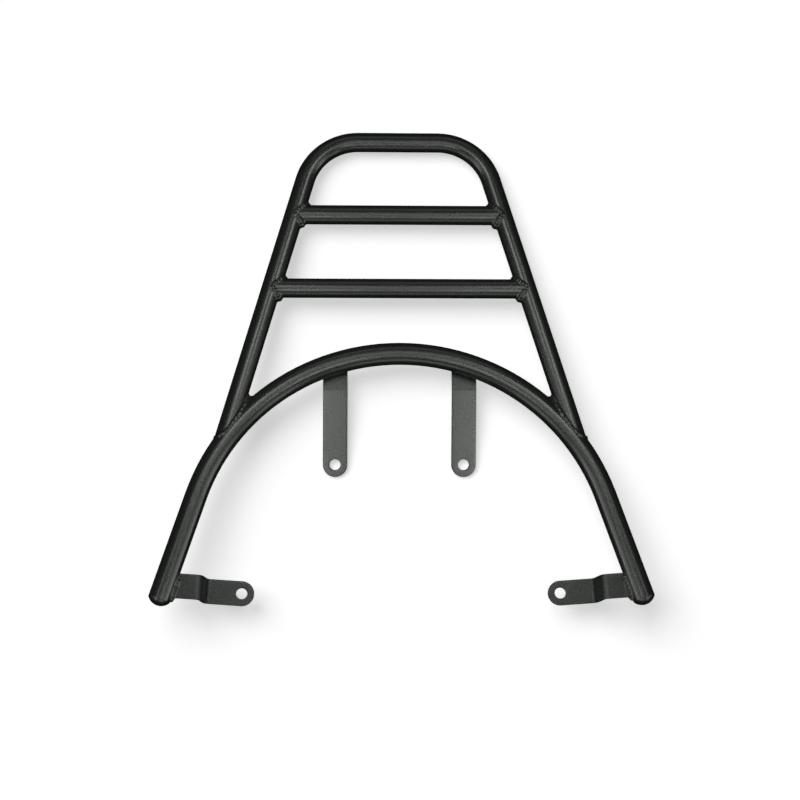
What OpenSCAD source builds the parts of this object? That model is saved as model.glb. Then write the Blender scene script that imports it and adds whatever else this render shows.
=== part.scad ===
// Motorcycle luggage rack: a flat frame of round steel tube with four bolt-on flat brackets.
// A hoop with two crossbars carries the load, and a wide arch passes round the tail of the seat.
// X is across the motorcycle, +Y points to the rear and +Z up. The origin lies midway between
// the two tab bolt holes, on the underside of the tab plates.

/* [Arch tube] */
// Outer diameter of the arch tube
arch_tube_od = 18; // [17:0.5:22]
// Wall thickness of the arch tube
arch_tube_wall = 2; // [1:0.25:3]
// Radius of the arch, to the centre of its tube
arch_radius = 174.5; // [165:0.5:190]
// Angle from the crown of the arch to the start of its straight legs
arch_half_angle = 71; // [66:0.5:76]
// Length of each straight leg of the arch
arch_leg_length = 88.5; // [70:0.5:110]

/* [Hoop and crossbars] */
// Outer diameter of the hoop tube
hoop_tube_od = 16; // [16:0.5:17]
// Wall thickness of the hoop tube
hoop_tube_wall = 1.5; // [1:0.25:2.5]
// Outer diameter of the two crossbars, a little under the hoop's
crossbar_od = 15.9; // [12:0.1:15.9]
// Wall thickness of the crossbars
crossbar_wall = 1.5; // [1:0.25:2.5]
// Distance from the crown of the arch back to the hoop's rear bar, centre to centre
hoop_reach = 180; // [160:1:200]
// Half width of the hoop at its rear bar, where the centre lines would cross
hoop_corner_x = 67; // [60:0.5:80]
// Bend radius of the two hoop corners, to the centre of the tube
hoop_bend_radius = 46; // [30:1:55]
// Angle round the arch, from its crown, at which the hoop legs land
hoop_join_angle = 55.7; // [50:0.1:60]
// Distance from the rear bar to the first crossbar, and between the crossbars
crossbar_pitch = 62.5; // [50:0.5:70]

/* [Flat brackets] */
// Thickness of the flat bar
flat_thickness = 3; // [2:0.5:5]
// Width of the flat bar
flat_width = 20; // [16:0.5:26]
// Diameter of the four bolt holes
bolt_hole_d = 9; // [6:0.5:11]
// Distance from the centre of the rack to each strap
strap_x = 52.5; // [40:0.5:75]
// Distance from the arch tube forward to the bend of the straps
strap_bend_gap = 9.9; // [5:0.1:20]
// Angle at which the straps fall away from the frame
strap_angle = 18; // [5:1:35]
// Distance along the strap from its bend to its bolt hole
strap_hole_run = 62; // [30:1:90]
// Inner radius of the strap bend
strap_bend_radius = 4; // [2:0.5:8]
// Distance along each tab from its bolt hole to the centre of the arch tube
tab_reach = 61.7; // [55:0.1:80]
// Distance along the leg from the middle of the tab to the end of the tube
tab_end_gap = 12.3; // [11:0.1:25]
// Angle in plan by which the tabs lean from straight across
tab_lean = 4; // [0:0.5:10]
// Height of the step in each tab
tab_step = 18; // [10:0.5:24]
// Slope of the step in each tab
tab_step_angle = 75; // [50:1:85]
// Inner radius of both tab bends
tab_bend_radius = 1.5; // [1:0.25:3]
// Distance from the tab bolt hole to the foot of the step
tab_flat_run = 25.5; // [18:0.5:32]

/* [End caps] */
// Height of the domed end caps
cap_dome_height = 5; // [2:0.5:8]
// Length of the cap's spigot inside the tube
cap_spigot_length = 8; // [3:0.5:20]
// Gap all round between the spigot and the bore of the tube
cap_clearance = 0.1; // [0.05:0.05:0.3]

/* [Welds] */
// Radius of the weld beads
weld_radius = 2.4; // [1.5:0.1:3]
// Distance between two ripples of a weld
weld_pitch = 2.8; // [2:0.1:3.2]
// Thickness of the long welds that join the hoop to the arch
weld_throat = 2.2; // [1:0.1:3]

/* [Hidden] */
$fn = 96;

coat = [0.13, 0.14, 0.13];
coat_light = [0.2, 0.21, 0.2];
weld_coat = [0.17, 0.18, 0.17];
left = -1;
right = 1;

arch_r = arch_tube_od / 2;
hoop_r = hoop_tube_od / 2;
crossbar_r = crossbar_od / 2;
// Where the middle of a tab meets the centre line of its leg, from the start of the leg
tab_landing = arch_leg_length - tab_end_gap;
tab_hole_x = arch_radius * sin(arch_half_angle) + tab_landing * cos(arch_half_angle)
    - tab_reach * cos(tab_lean);
// Distance from the tab bolt line back to the centre of the arch
arch_centre_y = tab_reach * sin(tab_lean) + tab_landing * sin(arch_half_angle)
    - arch_radius * cos(arch_half_angle);
hoop_rear_y = arch_centre_y + arch_radius + hoop_reach;
// Height of the plane that holds the centre lines of all the tubes
deck_z = tab_step + flat_thickness / 2;
// Past both faces of what is cut
overcut = 1;
// A tube loses a little of its diameter in a bend. A straight run reaches bend_lap into the bend,
// and its tapered toe sinks into the bend after that
bend_loss = 0.03;
bend_lap = 0.4;
toe_length = 1;
toe_taper = 0.1;
// A flat bar's bend is thinner by this on each face, and the straight runs lap into it
fold_loss = 0.01;
fold_lap = 0.1;

// Where the hoop legs land on the arch, and the slope of those legs
join_x = arch_radius * sin(hoop_join_angle);
join_y = arch_centre_y + arch_radius * cos(hoop_join_angle);
hoop_lean = atan2(join_x - hoop_corner_x, hoop_rear_y - join_y);
hoop_turn = 90 - hoop_lean;
bend_tangent = hoop_bend_radius * tan(hoop_turn / 2);
rear_bar_half = hoop_corner_x - bend_tangent;
hoop_leg_length = norm([join_x - hoop_corner_x, hoop_rear_y - join_y]) - bend_tangent;
// Enough to bury the square end of a leg in the arch before it is coped
leg_overrun = arch_r / 2;

// The right leg of the arch: where it starts, and the way it runs
arch_leg_start = [arch_radius * sin(arch_half_angle), arch_centre_y + arch_radius * cos(arch_half_angle)];
arch_leg_way = [cos(arch_half_angle), -sin(arch_half_angle)];
arch_leg_inward = [-sin(arch_half_angle), -cos(arch_half_angle)];

// How far a weld pool sinks into the crown of a tube, and how much it swells in a sharp corner
weld_sink = 1;
crotch_gain = 0.4;
// How far outside the arch's centre line the hoop's long welds start
weld_crown = 2.5;
// The strap's beads: how far from the arch's centre line, how high over the seat, and how far
// they stop short of the strap's edges
strap_weld_offset = 5.2;
seat_bead_drop = 0.6;
weld_inset = 0.5;

// The straps: the seat ends past the middle of the arch tube, and the hole is down the slope
// from the bend
seat_past_tube = 6;
strap_seat_length = strap_bend_gap + arch_r + seat_past_tube;
strap_bend_y = arch_centre_y + sqrt(arch_radius * arch_radius - strap_x * strap_x) - arch_r - strap_bend_gap;
strap_seat_z = deck_z - arch_r - flat_thickness / 2;
strap_hole_y = strap_bend_y - strap_hole_run * cos(strap_angle);
strap_hole_z = strap_seat_z - strap_hole_run * sin(strap_angle);
strap_tangent = (strap_bend_radius + flat_thickness / 2) * tan(strap_angle / 2);

// The tabs: length of the steep web between the bends, and of the upper plate to the tube's centre
tab_bend_middle = tab_bend_radius + flat_thickness / 2;
tab_web_length = (tab_step - 2 * tab_bend_middle * (1 - cos(tab_step_angle))) / sin(tab_step_angle);
tab_step_run = 2 * tab_bend_middle * sin(tab_step_angle) + tab_web_length * cos(tab_step_angle);
tab_way = [cos(tab_lean), sin(tab_lean)];
tab_upper_run = tab_reach - tab_flat_run - tab_step_run;
// Where the upper plate's faces meet the side of the tube, midway across the plate
tab_root_depth = sqrt(arch_r * arch_r - flat_thickness * flat_thickness / 4);
tab_root = lines_meet([tab_hole_x, 0], tab_way,
                      arch_leg_start + arch_leg_inward * tab_root_depth, arch_leg_way);

// Half the distance between the hoop legs at a given y, to the centre of the tube
function hoop_half_width(y) = hoop_corner_x + (hoop_rear_y - y) * tan(hoop_lean);
function crossbar_y(row) = hoop_rear_y - row * crossbar_pitch;
function cross2(a, b) = a[0] * b[1] - a[1] * b[0];
// Where the line through p along d meets the line through q along e
function lines_meet(p, d, q, e) = p + d * cross2(q - p, e) / cross2(d, e);
function steps(length) = max(2, round(length / weld_pitch));

module one_side(side) {
    mirror([side == left ? 1 : 0, 0, 0]) children();
}

// The bent part of a round bar, about the origin and from the X axis round to the angle turn
module bend(radius, turn, d) {
    rotate_extrude(angle = turn) translate([radius, 0]) circle(d = d - bend_loss);
}

// A round bar up Z from 0 to h, with a tapered toe beyond its foot, or beyond both its ends
module toed_bar(h, d, both = false) {
    rotate_extrude()
        polygon(concat(
            [[0, -toe_length], [d / 2 - toe_taper, -toe_length], [d / 2, 0], [d / 2, h]],
            both ? [[d / 2 - toe_taper, h + toe_length], [0, h + toe_length]] : [[0, h]]));
}

module arch_bend(d) {
    translate([0, arch_centre_y, deck_z])
        rotate([0, 0, 90 - arch_half_angle]) bend(arch_radius, 2 * arch_half_angle, d);
}

// Stands a child on the right leg of the arch, with its Z along the leg
module arch_leg_place(along) {
    translate([arch_leg_start[0], arch_leg_start[1], deck_z])
        rotate([0, 90, -arch_half_angle])
            translate([0, 0, along]) children();
}

module arch_leg_bar(d, longer = 0) {
    arch_leg_place(-bend_lap) toed_bar(arch_leg_length + bend_lap + longer, d);
}

// A round bar of the arch's shape; longer adds to both ends
module arch_bar(d, longer = 0) {
    arch_bend(d);
    for (side = [left, right])
        one_side(side) arch_leg_bar(d, longer);
}

// Puts a child at the top of the right hoop leg, with its Z down the leg
module hoop_leg_place() {
    translate([rear_bar_half + hoop_bend_radius * cos(hoop_lean),
               hoop_rear_y - hoop_bend_radius * (1 - sin(hoop_lean)), deck_z])
        rotate([0, 90, hoop_lean - 90]) children();
}

module hoop_leg(d, longer = 0) {
    hoop_leg_place()
        translate([0, 0, -bend_lap])
            toed_bar(hoop_leg_length + leg_overrun + bend_lap + longer, d);
}

// A round bar of the hoop's shape, with its legs run on into the arch
module hoop_bar(d, longer = 0) {
    translate([-rear_bar_half - bend_lap, hoop_rear_y, deck_z])
        rotate([0, 90, 0]) toed_bar(2 * (rear_bar_half + bend_lap), d, true);
    for (side = [left, right])
        one_side(side) {
            translate([rear_bar_half, hoop_rear_y - hoop_bend_radius, deck_z])
                rotate([0, 0, hoop_lean]) bend(hoop_bend_radius, hoop_turn, d);
            hoop_leg(d, longer);
        }
}

module hoop_tube() {
    color(coat)
        difference() {
            hoop_bar(hoop_tube_od);
            hoop_bar(hoop_tube_od - 2 * hoop_tube_wall, overcut);
            arch_bend(arch_tube_od);
            // Clears what would stick through inside the arch
            translate([0, arch_centre_y, deck_z - hoop_tube_od])
                cylinder(h = 2 * hoop_tube_od, r = arch_radius);
        }
}

module crossbar(row) {
    y = crossbar_y(row);
    half = hoop_half_width(y);
    color(coat)
        difference() {
            translate([-half, y, deck_z]) rotate([0, 90, 0]) cylinder(h = 2 * half, d = crossbar_od);
            translate([-half - overcut, y, deck_z])
                rotate([0, 90, 0]) cylinder(h = 2 * (half + overcut), d = crossbar_od - 2 * crossbar_wall);
            for (side = [left, right])
                one_side(side) hoop_leg(hoop_tube_od);
        }
}

module arch_tube() {
    color(coat)
        difference() {
            arch_bar(arch_tube_od);
            arch_bar(arch_tube_od - 2 * arch_tube_wall, overcut);
        }
}

// Side view of a bent flat bar that starts along +X: straight runs joined by turns
module bent_profile(runs, turns, inner_radius, i = 0) {
    lap_before = i > 0 ? fold_lap : 0;
    lap_after = i < len(turns) ? fold_lap : 0;
    translate([-lap_before, -flat_thickness / 2])
        square([runs[i] + lap_before + lap_after, flat_thickness]);
    if (i < len(turns))
        translate([runs[i], 0]) {
            way = sign(turns[i]);
            centre = way * (inner_radius + flat_thickness / 2);
            reach = 2 * (inner_radius + flat_thickness);
            translate([0, centre])
                intersection() {
                    difference() {
                        circle(r = inner_radius + flat_thickness - fold_loss);
                        circle(r = inner_radius + fold_loss);
                    }
                    polygon([[0, 0], for (part = [0, 0.5, 1])
                        way * reach * [sin(part * turns[i]), -cos(part * turns[i])]]);
                }
            translate([0, centre])
                rotate([0, 0, turns[i]])
                    translate([0, -centre]) bent_profile(runs, turns, inner_radius, i + 1);
        }
}

// A bent flat bar with its bolt hole at the origin, a round end behind it and its runs along +X
module bolted_flat(runs, turns, inner_radius) {
    reach = runs[0] + 4 * flat_width;
    difference() {
        intersection() {
            translate([-flat_width / 2, flat_width / 2, 0])
                rotate([90, 0, 0])
                    linear_extrude(height = flat_width)
                        bent_profile([runs[0] + flat_width / 2, for (i = [1 : 1 : len(runs) - 1]) runs[i]],
                                     turns, inner_radius);
            translate([0, 0, -reach])
                linear_extrude(height = 2 * reach)
                    union() {
                        circle(d = flat_width);
                        translate([0, -flat_width / 2]) square([reach, flat_width]);
                    }
        }
        translate([0, 0, -flat_thickness]) cylinder(h = 2 * flat_thickness, d = bolt_hole_d);
    }
}

// Right strap: its seat lies flat under the arch tube, and the rest falls towards the front
module strap_body() {
    translate([strap_x, strap_hole_y, strap_hole_z])
        rotate([0, -strap_angle, 90])
            bolted_flat([strap_hole_run - strap_tangent, strap_seat_length - strap_tangent],
                        [-strap_angle], strap_bend_radius);
}

module strap(side) {
    color(coat_light) one_side(side) strap_body();
}

// Right tab: a low plate for the bolt, a steep step, and an upper plate coped to the arch tube
module tab_body() {
    difference() {
        translate([tab_hole_x, 0, flat_thickness / 2])
            rotate([0, 0, tab_lean])
                bolted_flat([tab_flat_run, tab_web_length, tab_upper_run],
                            [tab_step_angle, -tab_step_angle], tab_bend_radius);
        arch_leg_bar(arch_tube_od);
    }
}

module tab(side) {
    color(coat_light) one_side(side) tab_body();
}

// Domed plug that closes an open end of the arch tube
module end_cap(side) {
    bore = arch_tube_od - 2 * arch_tube_wall;
    dome_radius = (arch_r * arch_r + cap_dome_height * cap_dome_height) / (2 * cap_dome_height);
    color(coat)
        one_side(side)
            arch_leg_place(arch_leg_length)
                union() {
                    intersection() {
                        translate([0, 0, cap_dome_height - dome_radius]) sphere(r = dome_radius);
                        cylinder(h = 2 * cap_dome_height, r = 2 * arch_r);
                    }
                    translate([0, 0, -cap_spigot_length])
                        cylinder(h = cap_spigot_length, d = bore - 2 * cap_clearance);
                }
}

// A rippled weld bead: one rounded pool after another, listed as [x, y, z, radius]
module bead(pools) {
    for (pool = pools)
        translate([pool[0], pool[1], pool[2]]) sphere(r = pool[3]);
}

// Pool at the angle turn round a crossbar's end, where it meets the right hoop leg
function crossbar_pool(y, turn) =
    let (
        depth = crossbar_r - weld_sink * abs(sin(turn)),
        py = y + depth * cos(turn),
        pz = depth * sin(turn),
        inset = sqrt(max(0, hoop_r * hoop_r - pz * pz)) / cos(hoop_lean)
    )
    [hoop_half_width(py) - inset, py, deck_z + pz, weld_radius * (1 + crotch_gain * max(0, cos(turn)))];

module crossbar_weld(row, side) {
    y = crossbar_y(row);
    count = steps(2 * PI * crossbar_r);
    color(weld_coat)
        one_side(side)
            difference() {
                bead([for (i = [0 : count - 1]) crossbar_pool(y, 360 * (i + 0.5) / count)]);
                translate([0, y, deck_z]) rotate([0, 90, 0]) cylinder(h = hoop_half_width(y), d = crossbar_od);
                hoop_leg(hoop_tube_od);
            }
}

// Weld in the long, sharp corner between a hoop leg and the arch: what lies near both tubes
module hoop_weld(side) {
    grown = 2 * weld_throat;
    color(weld_coat)
        one_side(side)
            difference() {
                intersection() {
                    hoop_leg(hoop_tube_od + grown);
                    arch_bend(arch_tube_od + grown);
                }
                hoop_leg(hoop_tube_od);
                arch_bend(arch_tube_od);
                // No weld runs over the top of the arch tube
                translate([0, arch_centre_y, deck_z - hoop_tube_od])
                    cylinder(h = 2 * hoop_tube_od, r = arch_radius + weld_crown);
            }
}

// A smooth bead in the gap between the arch tube and the strap's seat, from x_near to x_far
module seat_bead(offset, x_near, x_far) {
    near = asin(x_near / (arch_radius + offset));
    far = asin(x_far / (arch_radius + offset));
    translate([0, arch_centre_y, deck_z])
        rotate([0, 0, 90 - far])
            rotate_extrude(angle = far - near)
                difference() {
                    translate([arch_radius + offset, seat_bead_drop - arch_r]) circle(r = weld_radius);
                    translate([arch_radius, 0]) circle(d = arch_tube_od - bend_loss);
                    translate([arch_radius - 2 * arch_r, -3 * arch_r]) square([4 * arch_r, 2 * arch_r]);
                }
}

// Beads before and behind the arch tube where the strap's seat touches it from below
module strap_weld(side) {
    x_near = strap_x - flat_width / 2 + weld_inset;
    x_far = strap_x + flat_width / 2 - weld_inset;
    // Behind the tube the bead starts where the seat is long enough to carry it
    seat_end = strap_bend_y + strap_seat_length - arch_centre_y;
    outer_edge = arch_radius + strap_weld_offset + weld_radius;
    x_carried = sqrt(max(0, outer_edge * outer_edge - seat_end * seat_end));
    color(weld_coat)
        one_side(side) {
            seat_bead(-strap_weld_offset, x_near, x_far);
            if (x_carried < x_far - weld_pitch)
                seat_bead(strap_weld_offset, max(x_near, x_carried), x_far);
        }
}

// Beads above and below the tab's upper plate along the arch tube
module tab_weld(side) {
    run = flat_width / cos(90 - arch_half_angle - tab_lean);
    count = steps(run);
    color(weld_coat)
        one_side(side)
            difference() {
                bead([for (i = [0 : count], up = [-1, 1])
                    let (spot = tab_root + arch_leg_way * (i / count - 0.5) * run)
                    [spot[0], spot[1], deck_z + up * flat_thickness / 2, weld_radius]]);
                arch_leg_bar(arch_tube_od);
                tab_body();
            }
}

hoop_tube();
crossbar(1);  // upper_crossbar
crossbar(2);  // lower_crossbar
arch_tube();
strap(left);  // left_strap
strap(right);  // right_strap
tab(left);  // left_tab
tab(right);  // right_tab
end_cap(left);  // left_end_cap
end_cap(right);  // right_end_cap
crossbar_weld(1, left);  // upper_crossbar_weld_left
crossbar_weld(1, right);  // upper_crossbar_weld_right
crossbar_weld(2, left);  // lower_crossbar_weld_left
crossbar_weld(2, right);  // lower_crossbar_weld_right
hoop_weld(left);  // hoop_weld_left
hoop_weld(right);  // hoop_weld_right
strap_weld(left);  // strap_weld_left
strap_weld(right);  // strap_weld_right
tab_weld(left);  // tab_weld_left
tab_weld(right);  // tab_weld_right
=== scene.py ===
"""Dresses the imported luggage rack: powder-coated tubes, folded flat brackets and rippled welds."""

import math

import bmesh
import bpy
from bpy.props import FloatProperty, FloatVectorProperty, IntProperty, PointerProperty
from bpy.types import Operator, Panel, PropertyGroup
from mathutils import Matrix, Vector


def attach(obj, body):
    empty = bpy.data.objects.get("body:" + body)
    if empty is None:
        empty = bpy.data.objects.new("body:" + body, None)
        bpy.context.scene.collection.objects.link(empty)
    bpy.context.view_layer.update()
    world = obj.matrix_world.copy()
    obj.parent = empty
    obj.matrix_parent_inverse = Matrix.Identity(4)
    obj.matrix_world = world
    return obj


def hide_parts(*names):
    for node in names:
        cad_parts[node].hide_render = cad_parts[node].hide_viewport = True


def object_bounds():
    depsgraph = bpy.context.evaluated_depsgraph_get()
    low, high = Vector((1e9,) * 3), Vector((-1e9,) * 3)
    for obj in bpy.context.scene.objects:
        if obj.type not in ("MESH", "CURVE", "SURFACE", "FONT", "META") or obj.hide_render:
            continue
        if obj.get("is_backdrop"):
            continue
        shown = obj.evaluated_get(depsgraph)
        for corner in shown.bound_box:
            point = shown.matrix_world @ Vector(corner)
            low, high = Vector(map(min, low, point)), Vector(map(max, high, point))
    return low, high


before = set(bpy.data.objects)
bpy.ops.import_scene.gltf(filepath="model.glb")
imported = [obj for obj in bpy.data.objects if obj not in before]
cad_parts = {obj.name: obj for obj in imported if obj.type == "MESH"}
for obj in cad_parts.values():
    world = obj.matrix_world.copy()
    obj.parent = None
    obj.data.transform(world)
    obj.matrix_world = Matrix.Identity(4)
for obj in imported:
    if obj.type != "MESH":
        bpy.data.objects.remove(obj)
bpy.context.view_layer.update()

bl_info = {
    "name": "Luggage rack",
    "version": (1, 0, 0),
    "blender": (4, 5, 0),
    "location": "3D View > Sidebar > Rack",
    "description": "Dresses a tubular luggage rack: powder coat, folded brackets and weld beads",
    "category": "Object",
}

MM = 0.001
LEFT, RIGHT = -1, 1
SIDES = (("left", LEFT), ("right", RIGHT))

# The frame of the rack, in millimetres, as in its solid model
DECK_Z = 19.5
ARCH_R = 9.0
ARCH_RADIUS = 174.5
ARCH_HALF_ANGLE = math.radians(71)
ARCH_LEG_LENGTH = 88.5
TAB_LEAN = math.radians(4)
TAB_REACH = 61.7
TAB_FROM_LEG_END = 12.3
TAB_LANDING = ARCH_LEG_LENGTH - TAB_FROM_LEG_END
TAB_HOLE_X = (
    ARCH_RADIUS * math.sin(ARCH_HALF_ANGLE)
    + TAB_LANDING * math.cos(ARCH_HALF_ANGLE)
    - TAB_REACH * math.cos(TAB_LEAN)
)
ARCH_CENTRE_Y = (
    TAB_REACH * math.sin(TAB_LEAN)
    + TAB_LANDING * math.sin(ARCH_HALF_ANGLE)
    - ARCH_RADIUS * math.cos(ARCH_HALF_ANGLE)
)
HOOP_R = 8.0
HOOP_REACH = 180
HOOP_REAR_Y = ARCH_CENTRE_Y + ARCH_RADIUS + HOOP_REACH
HOOP_CORNER_X = 67.0
HOOP_JOIN_ANGLE = math.radians(55.7)
CROSSBAR_R = 7.95
CROSSBAR_PITCH = 62.5
STRAP_X = 52.5
STRAP_BEND_GAP = 9.9
STRAP_BEND_Y = ARCH_CENTRE_Y + math.sqrt(ARCH_RADIUS**2 - STRAP_X**2) - ARCH_R - STRAP_BEND_GAP

# Where the middle lines of the right hoop leg and the arch meet, in plan
JOIN = Vector(
    (
        ARCH_RADIUS * math.sin(HOOP_JOIN_ANGLE),
        ARCH_CENTRE_Y + ARCH_RADIUS * math.cos(HOOP_JOIN_ANGLE),
    )
)
HOOP_LEAN = math.atan2(JOIN.x - HOOP_CORNER_X, HOOP_REAR_Y - JOIN.y)
HOOP_LEG_START = Vector((HOOP_CORNER_X, HOOP_REAR_Y, DECK_Z))
HOOP_LEG_WAY = Vector((math.sin(HOOP_LEAN), -math.cos(HOOP_LEAN), 0))
HOOP_LEG_OUT = Vector((math.cos(HOOP_LEAN), math.sin(HOOP_LEAN), 0))
ARCH_CENTRE = Vector((0, ARCH_CENTRE_Y, DECK_Z))
ARCH_LEG_START = Vector(
    (
        ARCH_RADIUS * math.sin(ARCH_HALF_ANGLE),
        ARCH_CENTRE_Y + ARCH_RADIUS * math.cos(ARCH_HALF_ANGLE),
        DECK_Z,
    )
)
ARCH_LEG_WAY = Vector((math.cos(ARCH_HALF_ANGLE), -math.sin(ARCH_HALF_ANGLE), 0))
ARCH_LEG_IN = Vector((-math.sin(ARCH_HALF_ANGLE), -math.cos(ARCH_HALF_ANGLE), 0))


def hoop_half_width(y):
    """Half the distance between the hoop legs at y, to the middle of the tubes."""
    return HOOP_CORNER_X + (HOOP_REAR_Y - y) * math.tan(HOOP_LEAN)


# ---------------------------------------------------------------- settings

# What the settings of each kind share
LENGTH = {"subtype": "DISTANCE", "unit": "LENGTH"}
COLOUR = {"subtype": "COLOR", "size": 3, "min": 0, "max": 1}


class RackCoatSettings(PropertyGroup):
    """The powder coat."""

    tube_colour: FloatVectorProperty(
        name="Tube colour",
        description="Colour of the coat on the round tubes",
        **COLOUR,
        default=(0.0068, 0.0076, 0.0068),
    )
    flat_colour: FloatVectorProperty(
        name="Flat colour",
        description="Colour of the coat on the flat brackets",
        **COLOUR,
        default=(0.0085, 0.0095, 0.0088),
    )
    roughness: FloatProperty(
        name="Roughness",
        description="How satin the coat is: 0 is a mirror and 1 is dull",
        subtype="FACTOR",
        min=0,
        max=1,
        default=0.27,
    )
    peel_scale: FloatProperty(
        name="Peel scale",
        description="Waves of orange peel in a metre of coat",
        min=10,
        default=650,
    )
    peel_depth: FloatProperty(
        name="Peel depth",
        description="Height of the orange peel",
        **LENGTH,
        min=0,
        default=0.0000009,
        precision=7,
    )


class RackFlatSettings(PropertyGroup):
    """The straps and the tabs."""

    width: FloatProperty(
        name="Width", description="Width of the flat bar", **LENGTH, default=0.020
    )
    thickness: FloatProperty(
        name="Thickness", description="Thickness of the flat bar", **LENGTH, default=0.003
    )
    hole: FloatProperty(
        name="Bolt hole", description="Diameter of the bolt holes", **LENGTH, default=0.009
    )
    edge: FloatProperty(
        name="Edge radius",
        description="Rounding of the punched edges under the coat",
        **LENGTH,
        default=0.00045,
        precision=5,
    )
    strap_x: FloatProperty(
        name="Strap offset",
        description="Distance of each strap from the middle of the rack",
        **LENGTH,
        default=STRAP_X * MM,
    )
    strap_bend_y: FloatProperty(
        name="Strap bend",
        description="Distance from the tab bolts to the bend of the straps",
        **LENGTH,
        default=STRAP_BEND_Y * MM,
    )
    strap_run: FloatProperty(
        name="Strap run",
        description="Distance along the strap from its bend to its hole",
        **LENGTH,
        default=0.062,
    )
    strap_seat: FloatProperty(
        name="Strap seat",
        description="Length of strap that lies under the arch",
        **LENGTH,
        default=0.0249,
    )
    strap_angle: FloatProperty(
        name="Strap angle",
        description="Fall of the straps away from the frame",
        subtype="ANGLE",
        default=math.radians(18),
    )
    strap_radius: FloatProperty(
        name="Strap bend radius",
        description="Inner radius of the strap's bend",
        **LENGTH,
        default=0.004,
    )
    tab_lean: FloatProperty(
        name="Tab lean",
        description="Angle in plan between the tabs and straight across",
        subtype="ANGLE",
        default=TAB_LEAN,
    )
    tab_step: FloatProperty(
        name="Tab step", description="Height of the step in each tab", **LENGTH, default=0.018
    )
    tab_slope: FloatProperty(
        name="Tab slope",
        description="Slope of the step in each tab",
        subtype="ANGLE",
        default=math.radians(75),
    )
    tab_radius: FloatProperty(
        name="Tab bend radius",
        description="Inner radius of both bends of a tab",
        **LENGTH,
        default=0.0026,
    )
    tab_flat: FloatProperty(
        name="Tab flat",
        description="Distance from the bolt hole to the foot of the step",
        **LENGTH,
        default=0.0255,
    )


class RackWeldSettings(PropertyGroup):
    """The weld beads."""

    radius: FloatProperty(
        name="Bead radius",
        description="Radius of a weld pool on the crown of a tube",
        **LENGTH,
        default=0.0021,
        precision=5,
    )
    pitch: FloatProperty(
        name="Ripple pitch",
        description="Distance between two ripples of a bead",
        **LENGTH,
        min=0.0005,
        default=0.0027,
        precision=5,
    )
    unevenness: FloatProperty(
        name="Unevenness",
        description="How much one pool differs in size from the next",
        subtype="FACTOR",
        min=0,
        max=0.5,
        default=0.16,
    )
    stretch: FloatProperty(
        name="Pool length",
        description="Length of a pool along the bead against its width",
        subtype="FACTOR",
        min=0.2,
        max=1.5,
        default=0.85,
    )
    seed: IntProperty(
        name="Seed", description="Picks the pattern of larger and smaller pools", default=4
    )
    leg: FloatProperty(
        name="Bead leg",
        description="How far a bead reaches over each of the two surfaces that it joins",
        **LENGTH,
        default=0.0034,
        precision=5,
    )
    voxel: FloatProperty(
        name="Fineness",
        description="Cell size at which the pools flow into one bead",
        **LENGTH,
        min=0.0001,
        default=0.0003,
        precision=5,
    )


class RackStageSettings(PropertyGroup):
    """Floor, light and camera."""

    floor_colour: FloatVectorProperty(
        name="Floor colour",
        description="Colour of the plain floor",
        **COLOUR,
        default=(0.86, 0.86, 0.86),
    )
    floor_glow: FloatProperty(
        name="Floor glow",
        description="Light of the floor itself, as of a white table lit from below",
        min=0,
        default=0.6,
    )
    key_power: FloatProperty(
        name="Key strength",
        description="Strength of the wide light that whitens the floor",
        min=0,
        default=1.8,
    )
    key_angle: FloatProperty(
        name="Key width",
        description="How wide the floor's light looks from the rack: the softness of the shadows",
        subtype="ANGLE",
        default=math.radians(44),
    )
    softbox_power: FloatProperty(
        name="Softbox power",
        description="Power of all the softboxes, against that of their table",
        min=0,
        default=1,
    )
    camera_distance: FloatProperty(
        name="Camera distance",
        description="Distance from the camera to the middle of the picture",
        **LENGTH,
        default=2.2696,
    )
    camera_lens: FloatProperty(
        name="Lens", description="Focal length, in millimetres on a 36 mm frame", default=126
    )
    camera_tilt: FloatProperty(
        name="Camera tilt",
        description="Angle of the camera towards the front of the rack",
        subtype="ANGLE",
        default=math.radians(12.95),
    )
    camera_yaw: FloatProperty(
        name="Camera yaw",
        description="Angle of the camera towards the left of the rack",
        subtype="ANGLE",
        default=math.radians(3.05),
    )
    camera_roll: FloatProperty(
        name="Camera roll",
        description="Turn of the picture about the line of sight",
        subtype="ANGLE",
        default=math.radians(-0.6),
    )


# ---------------------------------------------------------------- materials

# Each pattern's waves in a metre, and how much it changes the colour, roughness or height. The
# grain's waves are against those of the peel.
CLOUD_WAVES, CLOUD_SHADE = 38, 0.05
PATCH_WAVES, PATCH_ROUGHNESS = 90, 0.015
GRAIN_WAVES, GRAIN_HEIGHT = 4.5, 0.06
LUMP_WAVES, WELD_LUMPS = 420, 0.000024
FLOOR_WAVES, FLOOR_SHADE = 3, 0.01
COAT_IOR, COAT_TINT = 1.5, (0.94, 1, 0.93, 1)


def new_material(name):
    """An empty node material with its Principled shader: (material, nodes, links, shader)."""
    material = bpy.data.materials.new(name)
    material.use_nodes = True
    nodes, links = material.node_tree.nodes, material.node_tree.links
    return material, nodes, links, nodes["Principled BSDF"]


def noise(nodes, links, vector, scale, detail=2.0, roughness=0.5):
    """A Noise texture that reads the given coordinate, and its Factor output."""
    node = nodes.new("ShaderNodeTexNoise")
    node.inputs["Scale"].default_value = scale
    node.inputs["Detail"].default_value = detail
    node.inputs["Roughness"].default_value = roughness
    links.new(vector, node.inputs["Vector"])
    return node.outputs["Fac"]


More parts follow.
